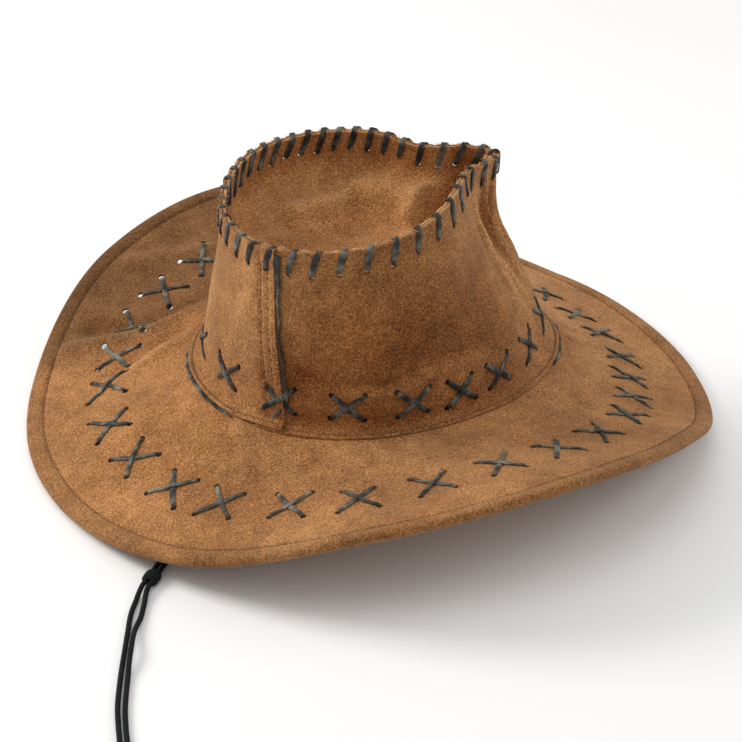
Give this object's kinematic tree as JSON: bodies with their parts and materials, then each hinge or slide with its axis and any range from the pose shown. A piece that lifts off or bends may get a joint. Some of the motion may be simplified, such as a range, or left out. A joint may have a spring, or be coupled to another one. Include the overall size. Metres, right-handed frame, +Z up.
{
  "type": "laced suede western hat",
  "caption": "Tan suede western hat with a pinched teardrop crown, curled wide brim, dark cross lacing and a black braided chin cord with a sliding knot.",
  "frame": {"origin": "bottom centre of the hat without its cord: the floor that the front and back of the brim stand on", "axes": "+X to the front of the hat, +Y to the wearer's left, +Z up"},
  "size_m": [0.4601, 0.4398, 0.1641],
  "materials": {
    "tan_suede": "matte napped suede",
    "sweatband_suede": "smooth matte leather",
    "dark_lace": "matte flat lace",
    "brown_thread": "matte sewing thread",
    "black_cord": "satin braided cord",
    "wire_steel": "drawn spring wire"
  },
  "bodies": {
    "hat": {"brim": "tan_suede", "brim_wire": "wire_steel", "brim_hem_thread": "brown_thread", "brim_lace_a": "dark_lace", "brim_lace_b": "dark_lace", "crown_side": "tan_suede", "crown_tip": "tan_suede", "crown_tip_lace": "dark_lace", "crown_foot_lace_a": "dark_lace", "crown_foot_lace_b": "dark_lace", "crown_foot_thread": "brown_thread", "back_seam_thread_1": "brown_thread", "back_seam_thread_2": "brown_thread", "back_seam_lace": "dark_lace", "sweatband": "sweatband_suede", "sweatband_thread": "brown_thread", "chin_cord_left": "black_cord", "chin_cord_right": "black_cord", "stopper_knot_left": "black_cord", "stopper_knot_right": "black_cord", "tail_knot_left": "black_cord", "tail_knot_right": "black_cord"},
    "cord_slider": {"cord_slider_knot": "black_cord"}
  },
  "joints": [
    {"name": "cord_slider_slide", "type": "slide", "parent": "hat", "child": "cord_slider", "axis": [0.7431, 0.6691, 0], "range_m": [0, 0.04]}
  ]
}
